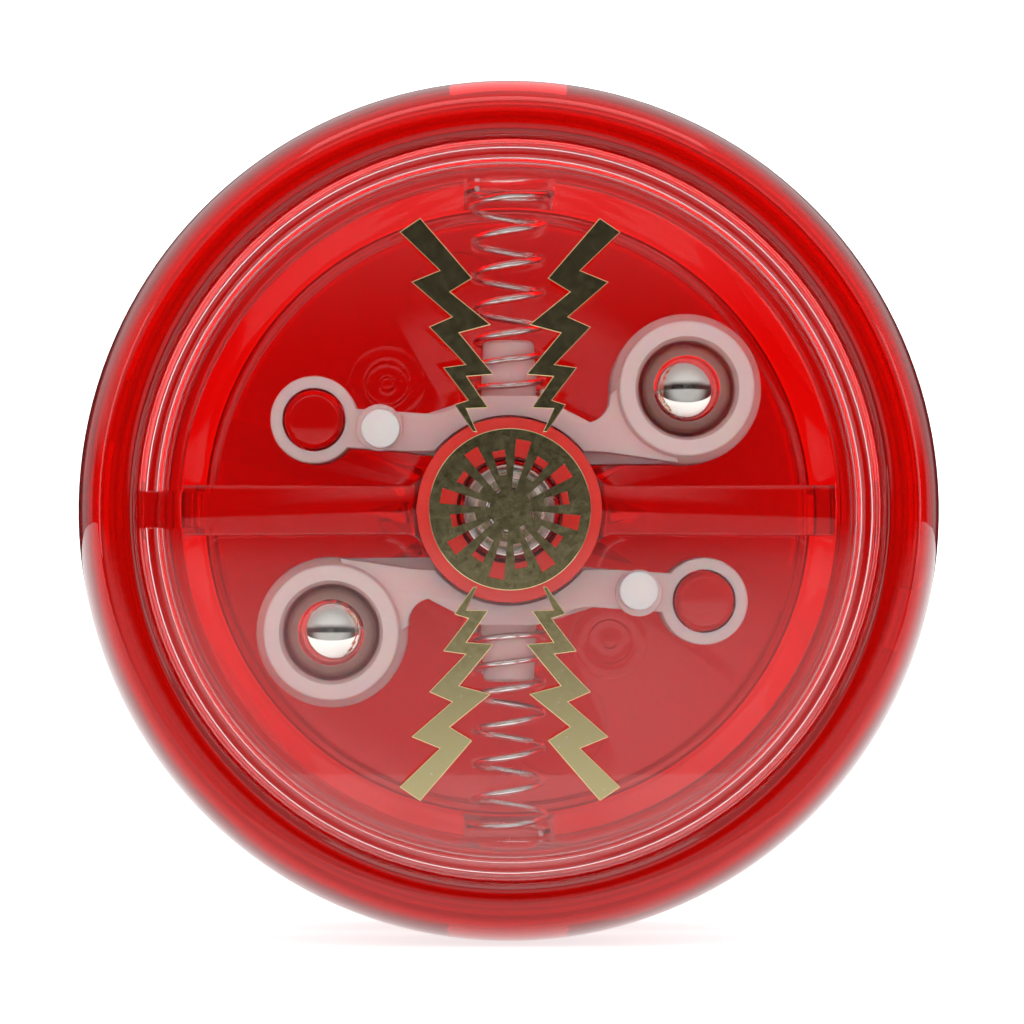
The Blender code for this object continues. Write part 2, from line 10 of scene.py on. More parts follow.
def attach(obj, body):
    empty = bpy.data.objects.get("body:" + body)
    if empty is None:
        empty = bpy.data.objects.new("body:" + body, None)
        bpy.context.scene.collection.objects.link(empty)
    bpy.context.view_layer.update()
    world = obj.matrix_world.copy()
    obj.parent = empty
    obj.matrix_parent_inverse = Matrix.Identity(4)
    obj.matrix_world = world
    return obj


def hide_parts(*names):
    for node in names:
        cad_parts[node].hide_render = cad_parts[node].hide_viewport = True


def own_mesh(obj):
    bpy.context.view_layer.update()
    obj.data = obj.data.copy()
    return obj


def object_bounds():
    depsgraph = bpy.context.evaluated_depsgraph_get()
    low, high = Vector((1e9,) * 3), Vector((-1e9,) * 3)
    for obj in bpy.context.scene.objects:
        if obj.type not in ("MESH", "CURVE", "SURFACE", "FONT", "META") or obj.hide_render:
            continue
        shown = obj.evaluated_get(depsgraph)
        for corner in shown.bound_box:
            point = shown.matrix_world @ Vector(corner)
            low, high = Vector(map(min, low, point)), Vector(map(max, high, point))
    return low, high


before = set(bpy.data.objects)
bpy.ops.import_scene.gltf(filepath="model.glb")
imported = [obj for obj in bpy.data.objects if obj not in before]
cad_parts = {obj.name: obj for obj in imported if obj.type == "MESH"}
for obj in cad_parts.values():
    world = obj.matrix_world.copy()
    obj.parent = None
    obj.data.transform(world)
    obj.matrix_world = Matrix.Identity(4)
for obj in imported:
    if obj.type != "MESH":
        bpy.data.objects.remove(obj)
CAD_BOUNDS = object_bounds()

MM = 0.001
ROUND = 160  # facets of the large turned pieces
SMALL = 48  # facets of the small ones

# Each side's own frame: x to the right, y up, z outwards along the axle.
CLUTCH = Matrix(((1, 0, 0), (0, 0, -1), (0, 1, 0))).to_4x4()
PLAIN = Matrix(((-1, 0, 0), (0, 0, 1), (0, 1, 0))).to_4x4()
HALF_TURN = Matrix.Rotation(math.pi, 4, "Z")

# Sizes in millimetres, heights from the middle of the string gap.
BODY_RADIUS = 28.43
RIM_HEIGHT = 17.18
GAP_HALF = 2.22
RING_HEIGHT = GAP_HALF + 0.8  # the sunken ring of the string face
WELL_RADIUS = 6.3  # the round opening that the spindle turns in
FLOOR_HEIGHT = 4.0  # the pockets' floor
LAND_HEIGHT = 12.7  # the step inside the cap's skirt
CAP_LOW, CAP_HIGH = 14.5, 15.9
SKIRT_OUTER, SKIRT_INNER, SKIRT_END = 23.7, 22.9, 11.8
FOIL_LOW, FOIL_HIGH, FOIL_EDGE = 15.93, 16.02, 0.045
MEDALLION_RADIUS = 5.27
MEDALLION_WINDOWS = 16

AXLE_RADIUS = 1.49
AXLE_BORE = 1.53
SPINDLE_BORE = 1.62
DRUM_RADIUS = 5.0
SHOE_RADIUS = 5.12  # the shoes' faces, clear of the drum

# The upper arm. The lower one is the same part turned half round the axle.
DECK = (6.4, 10.6)  # the beam's underside and top
PIVOT = Vector((-12.9, 6.0))
POD = Vector((11.75, 8.06))
NUB = Vector((-8.44, 5.3))
BALL_HEIGHT = 9.4
BALL_RADIUS = 2.99
SOCKET_RADIUS = 3.2
SOCKET_HOLE = 2.3  # the hole under the ball

SPRING_HEIGHT = 7.6
COIL_RADIUS, COIL_FLARE, WIRE_RADIUS = 2.3, 0.3, 0.22
# (turns, distance from the axle): closed up at both ends, the outer one in the shell's slot.
COIL_RISE = ((0, 7.95), (0.75, 8.3), (2.75, 11.8), (6.75, 20.9), (7.6, 21.42))

# Cycles treats a surface as a perfect mirror below a roughness of about 0.018. A rougher one is
# lit by the whole white world before the world can tell that the light was mirrored.
MOULDED_GLOSS = 0.015

# Camera: degrees to the left of the axle and below it, metres, and the point it looks at.
CAMERA_AZIMUTH, CAMERA_ELEVATION, CAMERA_DISTANCE = -0.7, -0.8, 0.3770
CAMERA_TARGET = Vector((0.00022, -0.0085, -0.00007))
CAMERA_LENS, CAMERA_SENSOR = 200, 36


# ---------------------------------------------------------------- shapes

def arc(centre, radii, start, end, steps):
    rx, ry = radii
    angles = [math.radians(start + (end - start) * i / steps) for i in range(steps + 1)]
    return [(centre[0] + rx * math.cos(a), centre[1] + ry * math.sin(a)) for a in angles]


def rounded(points, closed=True, steps=3):
    """Replaces each (x, y, radius) corner by a small curve that starts and ends radius away from it."""
    made = []
    count = len(points)
    for i, point in enumerate(points):
        here = Vector(point[:2])
        radius = point[2] if len(point) > 2 else 0
        if not radius or (not closed and i in (0, count - 1)):
            made.append(tuple(here))
            continue
        before = Vector(points[i - 1][:2]) - here
        after = Vector(points[(i + 1) % count][:2]) - here
        start = here + before.normalized() * min(radius, before.length * 0.45)
        end = here + after.normalized() * min(radius, after.length * 0.45)
        for j in range(steps + 1):
            t = j / steps
            made.append(tuple(start * (1 - t) ** 2 + here * 2 * t * (1 - t) + end * t * t))
    return made


def lathe(profile, segments=ROUND):
    """A mesh turned about z from (radius, height) points, closed unless it meets the axis twice."""
    points, faces, rows = [], [], []
    for radius, height in profile:
        if radius < 1e-6:
            rows.append([len(points)] * segments)
            points.append((0, 0, height))
            continue
        rows.append(list(range(len(points), len(points) + segments)))
        for i in range(segments):
            angle = 2 * math.pi * (i + 0.5) / segments
            points.append((radius * math.cos(angle), radius * math.sin(angle), height))
    for a, b in zip(rows, rows[1:] + rows[:1]):
        for i in range(segments):
            j = (i + 1) % segments
            corners = list(dict.fromkeys((a[i], a[j], b[j], b[i])))
            if len(corners) > 2:
                faces.append(corners)
    return mesh_from(points, faces)


def mesh_from(points, faces):
    mesh = bpy.data.meshes.new("mesh")
    mesh.from_pydata(points, [], faces)
    work = bmesh.new()
    work.from_mesh(mesh)
    bmesh.ops.recalc_face_normals(work, faces=work.faces)
    work.to_mesh(mesh)
    work.free()
    return mesh


def prism(outline, low, high, edge=0.0):
    """An outline between two heights. The edge is chamfered in two steps where it is asked for."""
    rings = [(0.0, low), (0.0, high)]
    if edge:
        rings = [(edge, low), (edge * 0.3, low + edge * 0.3), (0.0, low + edge)]
        rings += [(0.0, high - edge), (edge * 0.3, high - edge * 0.3), (edge, high)]
    area = sum(a[0] * b[1] - b[0] * a[1] for a, b in zip(outline, outline[1:] + outline[:1]))
    sign = 1 if area > 0 else -1
    count = len(outline)
    points, faces = [], []
    for inset, height in rings:
        for i, point in enumerate(outline):
            before = (Vector(point) - Vector(outline[i - 1])).normalized()
            after = (Vector(outline[(i + 1) % count]) - Vector(point)).normalized()
            inward = Vector((-(before.y + after.y), before.x + after.x)) * sign
            inward = inward.normalized() / max(0.35, math.cos(before.angle(after, 0) / 2))
            points.append((point[0] + inward.x * inset, point[1] + inward.y * inset, height))
    for k in range(len(rings) - 1):
        for i in range(count):
            j = (i + 1) % count
            faces.append([k * count + i, k * count + j, (k + 1) * count + j, (k + 1) * count + i])
    faces.append(list(range(count))[::-1])
    faces.append([(len(rings) - 1) * count + i for i in range(count)])
    return mesh_from(points, faces)


def disc(radius, low, high, at=(0, 0), edge=0.0, segments=SMALL):
    outline = arc((0, 0), (radius, radius), 0, 360 - 360 / segments, segments - 1)
    return moved(prism(outline, low, high, edge), at)


def block(low, high):
    x0, y0, z0 = low
    x1, y1, z1 = high
    return prism([(x0, y0), (x1, y0), (x1, y1), (x0, y1)], z0, z1)


def moved(mesh, at):
    mesh.transform(Matrix.Translation((at[0], at[1], at[2] if len(at) > 2 else 0)))
    return mesh


def combined(base, adds=(), cuts=()):
    """The base mesh with others joined to it or cut from it by exact Booleans."""
    made = bpy.data.objects.new("work", base)
    bpy.context.scene.collection.objects.link(made)
    tools = []
    for mesh, operation in [(m, "UNION") for m in adds] + [(m, "DIFFERENCE") for m in cuts]:
        tool = bpy.data.objects.new("tool", mesh)
        bpy.context.scene.collection.objects.link(tool)
        tools.append(tool)
        modifier = made.modifiers.new("cut", "BOOLEAN")
        modifier.operation = operation
        modifier.solver = "EXACT"
        modifier.object = tool
    bpy.context.view_layer.update()
    graph = bpy.context.evaluated_depsgraph_get()
    mesh = bpy.data.meshes.new_from_object(made.evaluated_get(graph))
    for obj in [made] + tools:
        bpy.data.objects.remove(obj, do_unlink=True)
    work = bmesh.new()
    work.from_mesh(mesh)
    bmesh.ops.remove_doubles(work, verts=work.verts, dist=0.002)
    bmesh.ops.dissolve_degenerate(work, edges=work.edges, dist=0.002)
    work.to_mesh(mesh)
    work.free()
    return mesh


def piece(name, mesh, side, body, look, node=None, sharp=30):
    """Places a mesh made in a side's frame, in millimetres, parents it to its body's empty and hides
    the CAD node that it stands in for.
    """
    mesh.transform(Matrix.Scale(MM, 4) @ side)
    mesh.name = name
    mesh.materials.clear()
    mesh.materials.append(look)
    mesh.shade_smooth()
    mesh.set_sharp_from_angle(angle=math.radians(sharp))
    obj = bpy.data.objects.new(name, mesh)
    bpy.context.scene.collection.objects.link(obj)
    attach(obj, body)
    if node:
        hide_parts(node)
    return obj


# ---------------------------------------------------------------- materials

class Look:
    """A node material built around one Principled BSDF."""

    def __init__(self, name, **sockets):
        self.material = bpy.data.materials.new(name)
        self.material.use_nodes = True
        self.tree = self.material.node_tree
        self.shader = self.tree.nodes["Principled BSDF"]
        self.coords = self.tree.nodes.new("ShaderNodeTexCoord").outputs["Object"]
        for key, value in sockets.items():
            socket = self.shader.inputs[key.replace("_", " ")]
            socket.default_value = (*value, 1) if isinstance(value, tuple) else value

    def node(self, kind, values=(), links=()):
        made = self.tree.nodes.new(kind)
        for key, value in dict(values).items():
            if isinstance(key, str) and hasattr(made, key):
                setattr(made, key, value)
            else:
                made.inputs[key].default_value = value
        for key, source in dict(links).items():
            self.tree.links.new(source, made.inputs[key])
        return made

    def noise(self, scale, detail=3.0, rough=0.55, stretch=None):
        coords = self.coords
        if stretch:
            coords = self.node("ShaderNodeMapping", {"Scale": stretch}, {"Vector": coords}).outputs[0]
        values = {"Scale": scale, "Detail": detail, "Roughness": rough}
        return self.node("ShaderNodeTexNoise", values, {"Vector": coords}).outputs["Fac"]

    def specks(self, scale, size):
        """1 on rare small round spots, 0 elsewhere."""
        cells = self.node("ShaderNodeTexVoronoi", {"Scale": scale}, {"Vector": self.coords})
        return self.ramp(cells.outputs["Distance"], size, size * 0.6)

    def ramp(self, fac, low, high, to_low=0.0, to_high=1.0):
        values = {"From Min": low, "From Max": high, "To Min": to_low, "To Max": to_high}
        return self.node("ShaderNodeMapRange", values, {"Value": fac}).outputs["Result"]

    def blend(self, fac, first, second):
        mix = self.node("ShaderNodeMix", {"data_type": "RGBA"}, {"Factor": fac})
        for socket, value in ((mix.inputs[6], first), (mix.inputs[7], second)):
            if isinstance(value, tuple):
                socket.default_value = (*value, 1)
            else:
                self.tree.links.new(value, socket)
        return mix.outputs[2]

    def bump(self, height, strength, distance):
        values = {"Strength": strength, "Distance": distance}
        return self.node("ShaderNodeBump", values, {"Height": height}).outputs["Normal"]

    def link(self, source, socket):
        self.tree.links.new(source, self.shader.inputs[socket])


def red_plastic():
    """Clear red: a tinted surface, and a body that gets deeper where it is thick."""
    look = Look(
        "translucent_red",
        Base_Color=(0.70, 0.005, 0.002),
        Roughness=MOULDED_GLOSS,
        IOR=1.5,
        Transmission_Weight=0.85,
    )
    grain = look.noise(420.0, 3.0, 0.6, (1.0, 1.0, 3.0))
    look.link(look.bump(grain, 0.06, 0.00003), "Normal")
    depth = look.tree.nodes.new("ShaderNodeVolumeAbsorption")
    depth.inputs["Color"].default_value = (0.978, 0.06, 0.04, 1)
    depth.inputs["Density"].default_value = 450.0
    look.tree.links.new(depth.outputs[0], look.tree.nodes["Material Output"].inputs["Volume"])
    return look.material


def satin_red():
    look = Look("satin_red", Roughness=0.3, IOR=1.5)
    grain = look.noise(500.0, 3.0)
    look.link(look.blend(grain, (0.70, 0.012, 0.003), (0.86, 0.020, 0.006)), "Base Color")
    look.link(look.bump(grain, 0.1, 0.00003), "Normal")
    return look.material


def clear_plastic():
    look = Look(
        "clear_plastic",
        Base_Color=(0.985, 0.985, 0.985),
        Roughness=MOULDED_GLOSS,
        IOR=1.49,
        Transmission_Weight=1.0,
    )
    look.link(look.bump(look.noise(240.0, 3.0, 0.6, (9.0, 1.0, 1.0)), 0.05, 0.00002), "Normal")
    return look.material


def nylon():
    """Milky nylon whose pink colour is painted red light from the shell round it, with a painted
    highlight that whitens it towards the nubs' ends, which stand highest off the deck.
    """
    look = Look(
        "natural_nylon",
        Roughness=0.55,
        IOR=1.4,
        Transmission_Weight=0.3,
        Subsurface_Weight=0.6,
        Subsurface_Scale=0.003,
    )
    cloud = look.noise(260.0, 3.0)
    # The pink is painted red light, the glow of the red shell on white nylon. The cloud is a random
    # tone.
    milky_and_painted_red_glow = look.blend(cloud, (0.96, 0.58, 0.56), (0.98, 0.64, 0.62))
    depth = look.node("ShaderNodeSeparateXYZ", links={0: look.coords}).outputs["Y"]
    # Painted highlight: the colour whitens with height off the deck and is whitest at the nubs' ends.
    painted_highlight = look.ramp(depth, -0.0106, -0.0136)
    look.link(look.blend(painted_highlight, milky_and_painted_red_glow, (1.0, 0.86, 0.84)), "Base Color")
    look.link(look.bump(cloud, 0.08, 0.00004), "Normal")
    return look.material


def steel(name, colour, roughness):
    """Steel of a colour, a little uneven in colour and polish."""
    look = Look(name, Metallic=1.0)
    haze = look.noise(700.0, 3.0)
    look.link(look.ramp(haze, 0.3, 0.7, roughness * 0.7, roughness * 1.6), "Roughness")
    darker = tuple(c * 0.86 for c in colour)
    look.link(look.blend(look.noise(300.0, 2.0), darker, colour), "Base Color")
    look.link(look.bump(look.noise(3000.0, 2.0), 0.05, 0.00002), "Normal")
    return look.material


def gold_foil():
    """Stamped foil with a fine grain and pale pits."""
    look = Look("gold_foil", Metallic=1.0)
    grain = look.noise(2400.0, 4.0, 0.7)
    gold = look.blend(look.ramp(grain, 0.35, 0.68), (0.86, 0.72, 0.36), (0.90, 0.77, 0.42))
    pits = look.specks(1300.0, 0.09)
    look.link(look.blend(pits, gold, (0.98, 0.92, 0.75)), "Base Color")
    look.link(look.ramp(grain, 0.3, 0.7, 0.08, 0.13), "Roughness")
    return look.material


RED = red_plastic()
SATIN_RED = satin_red()
CLEAR = clear_plastic()
NYLON = nylon()
BALL_STEEL = steel("ball_steel", (0.82, 0.79, 0.74), 0.05)
TURNED_STEEL = steel("turned_steel", (0.70, 0.68, 0.66), 0.20)
WIRE_STEEL = steel("wire_steel", (0.84, 0.81, 0.79), 0.18)
FOIL = gold_foil()


# ---------------------------------------------------------------- halves

def shell_profile(hub):
    """A half's section from the string face round the rim to the pockets' floor, then the hub's."""
    widest = 8.4
    face = [(8.9, RING_HEIGHT, 0.4), (10.6, GAP_HALF, 0.4), (23.0, GAP_HALF + 0.13)]
    belly_radii = (BODY_RADIUS - 23.0, widest - GAP_HALF - 0.13)
    belly = arc((23.0, widest), belly_radii, -84, 0, 14)
    shoulder = arc((26.2, widest), (BODY_RADIUS - 26.2, RIM_HEIGHT - widest), 6, 90, 14)
    inside = [
        (24.7, RIM_HEIGHT, 0.25),
        (24.3, RIM_HEIGHT - 0.4, 0.15),
        (24.3, 14.4, 0.15),
        (23.9, 14.4, 0.15),
        (23.9, 11.4, 0.3),
        (22.7, 11.4, 0.3),
        (22.7, LAND_HEIGHT, 0.35),
        (21.5, LAND_HEIGHT, 0.35),
        (20.6, FLOOR_HEIGHT + 0.2, 0.9),
        (19.9, FLOOR_HEIGHT, 0.3),
    ]
    return rounded(face + belly + shoulder + inside + hub)


def starburst():
    """The triangular ridges in the sunken ring of the string face."""
    count = 16
    ridges = []
    for i in range(count):
        turn = 2 * math.pi * i / count
        outline = []
        for x, y in ((6.5, -0.55), (9.5, 0.0), (6.5, 0.55)):
            c, s = math.cos(turn), math.sin(turn)
            outline.append((x * c - y * s, x * s + y * c))
        ridges.append(roof(outline, GAP_HALF + 0.95, GAP_HALF + 0.02))
    return ridges


def roof(outline, base, crest):
    """A wedge on a triangular base. Its crest runs from the middle of the short side to the tip."""
    (ax, ay), (bx, by), (cx, cy) = outline
    mid = ((ax + cx) / 2, (ay + cy) / 2)
    far = (bx * 0.9 + mid[0] * 0.1, by * 0.9 + mid[1] * 0.1)
    points = [(ax, ay, base), (bx, by, base), (cx, cy, base), (*mid, crest), (*far, crest)]
    faces = [[0, 1, 2], [0, 3, 4, 1], [2, 1, 4, 3], [0, 2, 3]]
    return mesh_from(points, faces)


def mould_mark(at):
    """The raised rings and pip on the pocket floor."""
    buried, sunk, crest = 3.2, 4.1, 4.35
    rings = [(0, buried), (2.6, buried), (2.6, crest, 0.15), (1.55, crest, 0.12), (1.4, sunk, 0.1)]
    rings += [(0.55, sunk, 0.08), (0.4, crest, 0.1), (0, crest)]
    return moved(lathe(rounded(rings, closed=False), SMALL), at)


def bridge_outline():
    """The bar across the pockets with its round boss, joined by fillets."""
    boss, half, fillet = 6.1, 1.6, 1.5
    reach = 22.1
    centre_y = half + fillet
    centre_x = math.sqrt((boss + fillet) ** 2 - centre_y**2)
    lean = math.degrees(math.atan2(centre_y, centre_x))
    curve = arc((centre_x, centre_y), (fillet, fillet), 270, 180 + lean, 6)
    top = curve + arc((0, 0), (boss, boss), lean, 90, 20)[1:]
    right = [(reach, half + 0.08)] + top
    left = [(-x, y) for x, y in reversed(right[:-1])]
    upper = right + left
    return upper + [(x, -y) for x, y in reversed(upper)]


def clutch_half():
    hub = [(WELL_RADIUS, FLOOR_HEIGHT, 0.15), (WELL_RADIUS, RING_HEIGHT, 0.15)]
    base = lathe(shell_profile(hub))
    adds = [
        block((-21.7, -1.5, 3.2), (21.7, 1.5, 10.0)),
        prism(bridge_outline(), 9.6, 12.2, 0.14),
    ]
    cuts = [disc(WELL_RADIUS, 1.0, 9.6, segments=ROUND)]
    for sign in (1, -1):
        at = (*(PIVOT * sign), 0)
        post = [(0, 3.2), (1.95, 3.2), (1.95, 10.75, 0.1), (1.6, 11.15, 0.1), (0, 11.15)]
        adds.append(moved(lathe(rounded(post, closed=False), SMALL), at))
        y0, y1 = sorted((sign * 18.5, sign * 21.75))
        spring_slot = block((-3.0, y0, 4.6), (3.0, y1, 13.7))
        cuts.append(spring_slot)
    adds += [mould_mark((-8.2, 8.65)), mould_mark((6.9, -8.8))]
    adds += starburst()
    cuts += [disc(3.45, 11.0, 13.0), disc(AXLE_BORE, 9.0, 13.0)]
    return combined(base, adds, cuts)


def plain_half():
    hub = [
        (6.1, FLOOR_HEIGHT, 0.3),
        (6.1, 9.0, 0.2),
        (AXLE_BORE, 9.0, 0.1),
        (AXLE_BORE, GAP_HALF, 0.1),
        (6.0, GAP_HALF, 0.1),
        (WELL_RADIUS, RING_HEIGHT, 0.1),
    ]
    base = lathe(shell_profile(hub))
    adds = []
    bar_angle, pad_angle, pad_distance = math.radians(15), math.radians(77), 15.1
    for i in range(2):
        bar = block((5.5, -1.6, 3.2), (21.7, 1.6, 8.5))
        bar.transform(Matrix.Rotation(bar_angle + i * math.pi, 4, "Z"))
        adds.append(bar)
        angle = pad_angle + i * math.pi
        pad_at = (pad_distance * math.cos(angle), pad_distance * math.sin(angle))
        adds.append(disc(3.6, 3.2, 4.9, pad_at, 0.1))
    return combined(base, adds + starburst())


def cap():
    """A clear disc with a snap bead on its skirt, which is open at the gate."""
    profile = [
        (0, CAP_HIGH),
        (23.95, CAP_HIGH, 0.15),
        (24.1, 15.75, 0.1),
        (24.1, CAP_LOW, 0.1),
        (SKIRT_OUTER, CAP_LOW, 0.1),
        (SKIRT_OUTER, 12.6, 0.1),
        (23.82, 12.2, 0.1),
        (SKIRT_OUTER, SKIRT_END, 0.1),
        (SKIRT_INNER, SKIRT_END, 0.3),
        (SKIRT_INNER, CAP_LOW, 0.5),
        (0, CAP_LOW),
    ]
    gate = block((-23.9, -1.2, 10.8), (-22.3, 1.2, CAP_LOW))
    return combined(lathe(rounded(profile, closed=False)), cuts=[gate])


# ---------------------------------------------------------------- clutch

def beam_outline():
    """The deck from the pivot's eye to the ball pod."""
    fillet = arc((4.97, 7.5), (1.7, 1.7), 5, -77, 8)
    return rounded(
        [(-12.9, 6.9), (-4.6, 6.35, 1.0), (-1.95, 7.6, 0.5), (1.95, 7.6, 0.5), (3.4, 6.85, 0.5)]
        + fillet[::-1]
        + [(9.0, 9.5), (11.2, 3.15), (6.1, 3.9, 1.0), (-6.85, 3.9, 0.5), (-12.9, 4.3)]
    )


def shoe_outline():
    """The brake shoe under the deck, before it is cut round to the drum."""
    return rounded([
        (-6.85, 3.9, 0.3),
        (-6.0, 6.3, 0.3),
        (-1.95, 7.6, 0.3),
        (1.95, 7.6, 0.3),
        (5.2, 5.6, 0.3),
        (8.0, 7.0),
        (11.0, 3.15),
        (5.0, 3.1, 0.2),
        (3.6, 2.9, 0.2),
        (-3.9, 2.9, 0.2),
        (-4.8, 3.7, 0.3),
    ])


def clutch_arm():
    adds = [
        prism(shoe_outline(), 4.4, 8.6),
        disc(2.9, 5.4, 10.62, PIVOT, 0.18),
        disc(1.27, 9.6, 14.1, NUB, 0.12),
        disc(1.55, 9.6, 11.0, NUB + Vector((-0.12, 0.16)), 0.1),
    ]
    pod = [
        (0, 4.6),
        (4.7, 4.6, 0.2),
        (5.0, 5.0, 0.2),
        (5.0, 9.9, 0.3),
        (4.55, 10.75, 0.2),
        (4.45, 11.3, 0.2),
        (0, 11.3),
    ]
    adds.append(moved(lathe(rounded(pod, closed=False), 96), POD))
    peg_profile = [(0, 6.5), (1.9, 6.5), (1.82, 8.6), (1.7, 11.4, 0.45), (0, 11.4)]
    peg = lathe(rounded(peg_profile, closed=False), SMALL)
    lying = Matrix.Rotation(-math.pi / 2, 4, "X")
    peg.transform(Matrix.Translation((0, 0, SPRING_HEIGHT)) @ lying)
    adds.append(peg)
    rise = math.degrees(math.acos(SOCKET_HOLE / SOCKET_RADIUS))
    seat = arc((0, BALL_HEIGHT), (SOCKET_RADIUS, SOCKET_RADIUS), -rise, 0, 8)
    pocket = [(0, 3.0), (SOCKET_HOLE, 3.0)] + seat
    pocket += [(SOCKET_RADIUS, 10.4, 0.1), (3.45, 11.31), (3.45, 12.5), (0, 12.5)]
    cuts = [
        moved(lathe(rounded(pocket, closed=False), 64), POD),
        disc(2.1, 3.0, 12.0, PIVOT),
        disc(SHOE_RADIUS, 3.0, 12.0, segments=ROUND),
        disc(WELL_RADIUS, 8.6, 12.0, segments=ROUND),
    ]
    return combined(prism(beam_outline(), DECK[0], DECK[1], 0.12), adds, cuts)


def ball():
    work = bmesh.new()
    bmesh.ops.create_icosphere(work, subdivisions=5, radius=BALL_RADIUS)
    mesh = bpy.data.meshes.new("ball")
    work.to_mesh(mesh)
    work.free()
    return moved(mesh, (*POD, BALL_HEIGHT))


def spring():
    """A round wire swept along the coil, with closed-up turns at its flared outer end."""
    per_turn, sides = 36, 12
    turns = COIL_RISE[-1][0]
    flare_from, flare_turns = 5.75, 1.85
    count = round(turns * per_turn)
    centres = []
    for i in range(count + 1):
        turn = turns * i / count
        for (t0, d0), (t1, d1) in zip(COIL_RISE, COIL_RISE[1:]):
            if turn <= t1 + 1e-9:
                break
        along = d0 + (d1 - d0) * (turn - t0) / (t1 - t0)
        flare = max(0.0, (turn - flare_from) / flare_turns)
        radius = COIL_RADIUS + COIL_FLARE * min(1.0, flare * 1.6)
        angle = -2 * math.pi * turn
        x, z = radius * math.cos(angle), SPRING_HEIGHT + radius * math.sin(angle)
        centres.append(Vector((x, along, z)))
    points, faces = [], []
    for i, centre in enumerate(centres):
        ahead = (centres[min(i + 1, count)] - centres[max(i - 1, 0)]).normalized()
        out = (centre - Vector((0, centre.y, SPRING_HEIGHT))).normalized()
        out = (out - ahead * out.dot(ahead)).normalized()
        up = ahead.cross(out)
        for j in range(sides):
            angle = 2 * math.pi * j / sides
            points.append(centre + (out * math.cos(angle) + up * math.sin(angle)) * WIRE_RADIUS)
    for i in range(count):
        for j in range(sides):
            k = (j + 1) % sides
            faces.append([i * sides + j, i * sides + k, (i + 1) * sides + k, (i + 1) * sides + j])
    faces.append(list(range(sides))[::-1])
    faces.append([count * sides + j for j in range(sides)])
    return mesh_from(points, faces)


# ---------------------------------------------------------------- axle and spindle

def spindle():
    """The string's sleeve, a flange and the drum that the shoes grip."""
    profile = [
        (SPINDLE_BORE, -1.6, 0.1),
        (2.6, -1.6, 0.1),
        (2.6, 2.3, 0.3),
        (6.0, 2.3, 0.1),
        (6.0, 3.6, 0.1),
        (DRUM_RADIUS, 3.9, 0.2),
        (DRUM_RADIUS, 8.95, 0.2),
        (4.7, 9.2, 0.1),
        (SPINDLE_BORE, 9.2, 0.1),
    ]
    return lathe(rounded(profile))


def washer(inner, outer, low, high):
    section = [(inner, low, 0.05), (outer, low, 0.1), (outer, high, 0.1), (inner, high, 0.05)]
    return lathe(rounded(section), 96)


def axle():
    profile = [
        (0, -12.4),
        (1.3, -12.4, 0.1),
        (AXLE_RADIUS, -12.1, 0.1),
        (AXLE_RADIUS, 11.7, 0.1),
        (1.3, 12.0, 0.1),
        (0, 12.0),
    ]
    return lathe(rounded(profile, closed=False), 64)


def end_collar():
    profile = [
        (AXLE_BORE, 11.05, 0.05),
        (3.3, 11.05, 0.1),
        (3.3, 11.75, 0.15),
        (2.95, 12.05, 0.15),
        (2.35, 12.05, 0.1),
        (2.15, 11.75, 0.1),
        (AXLE_BORE, 11.75, 0.05),
    ]
    return lathe(rounded(profile), 96)


def bolt_outline():
    """The upper left zigzag bolt, widening outwards from its tip at the medallion."""
    tip = [(-2.4, 5.04), (-2.12, 5.0)]
    right = [
        (-2.82, 6.53), (-1.4, 6.58), (-2.79, 8.62), (-1.06, 8.76),
        (-3.28, 11.46), (-1.24, 12.0), (-3.89, 14.14), (-2.45, 15.02),
    ]
    left = [
        (-3.63, 6.81), (-2.73, 7.1), (-4.35, 9.22), (-2.91, 9.42),
        (-5.26, 11.86), (-3.79, 12.51), (-6.41, 14.78), (-4.58, 15.53),
    ]
    end = [(-5.83, 18.94), (-7.18, 18.03)]
    return tip + right + end + left[::-1]


def medallion():
    """A pierced disc with radial windows of two lengths."""
    long_window, short_window = (1.35, 4.6), (2.3, 3.9)
    half = math.pi / MEDALLION_WINDOWS * 0.56
    cuts = []
    for i in range(MEDALLION_WINDOWS):
        turn = 2 * math.pi * (i + 0.5) / MEDALLION_WINDOWS
        inner, outer = long_window if i % 2 else short_window
        corners = ((inner, -half), (outer, -half), (outer, half), (inner, half))
        outline = [(r * math.cos(turn + a), r * math.sin(turn + a)) for r, a in corners]
        cuts.append(prism(outline, 15.5, 16.5))
    blank = disc(MEDALLION_RADIUS, FOIL_LOW, FOIL_HIGH, edge=FOIL_EDGE, segments=ROUND)
    return combined(blank, cuts=cuts)


def foil_bolts():
    """The four zigzag bolts, each the upper left one mirrored about the axle."""
    corners = (
        ("upper_left", 1, 1),
        ("upper_right", -1, 1),
        ("lower_left", 1, -1),
        ("lower_right", -1, -1),
    )
    for corner, sx, sy in corners:
        outline = [(x * sx, y * sy) for x, y in bolt_outline()]
        mesh = prism(outline, FOIL_LOW, FOIL_HIGH, FOIL_EDGE)
        node = f"clutch_foil_bolt_{corner}"
        piece(f"clutch_bolt_{corner}", mesh, CLUTCH, "body", FOIL, node, 12)


def hub_face():
    """The satin end face of the boss round the axle's collar."""
    inner, outer, low, high = 3.5, 6.08, 12.23, 12.4
    section = [(inner, low, 0.05), (outer, low, 0.05), (outer, high, 0.08), (inner, high, 0.08)]
    return lathe(rounded(section))


def nut():
    across_flats = 5.5
    corner = across_flats / 2 / math.cos(math.pi / 6)
    angles = [math.pi / 3 * i for i in range(6)]
    hexagon = [(corner * math.cos(a), corner * math.sin(a)) for a in angles]
    return combined(prism(hexagon, 9.55, 11.85, 0.12), cuts=[disc(AXLE_BORE, 9.0, 12.5)])


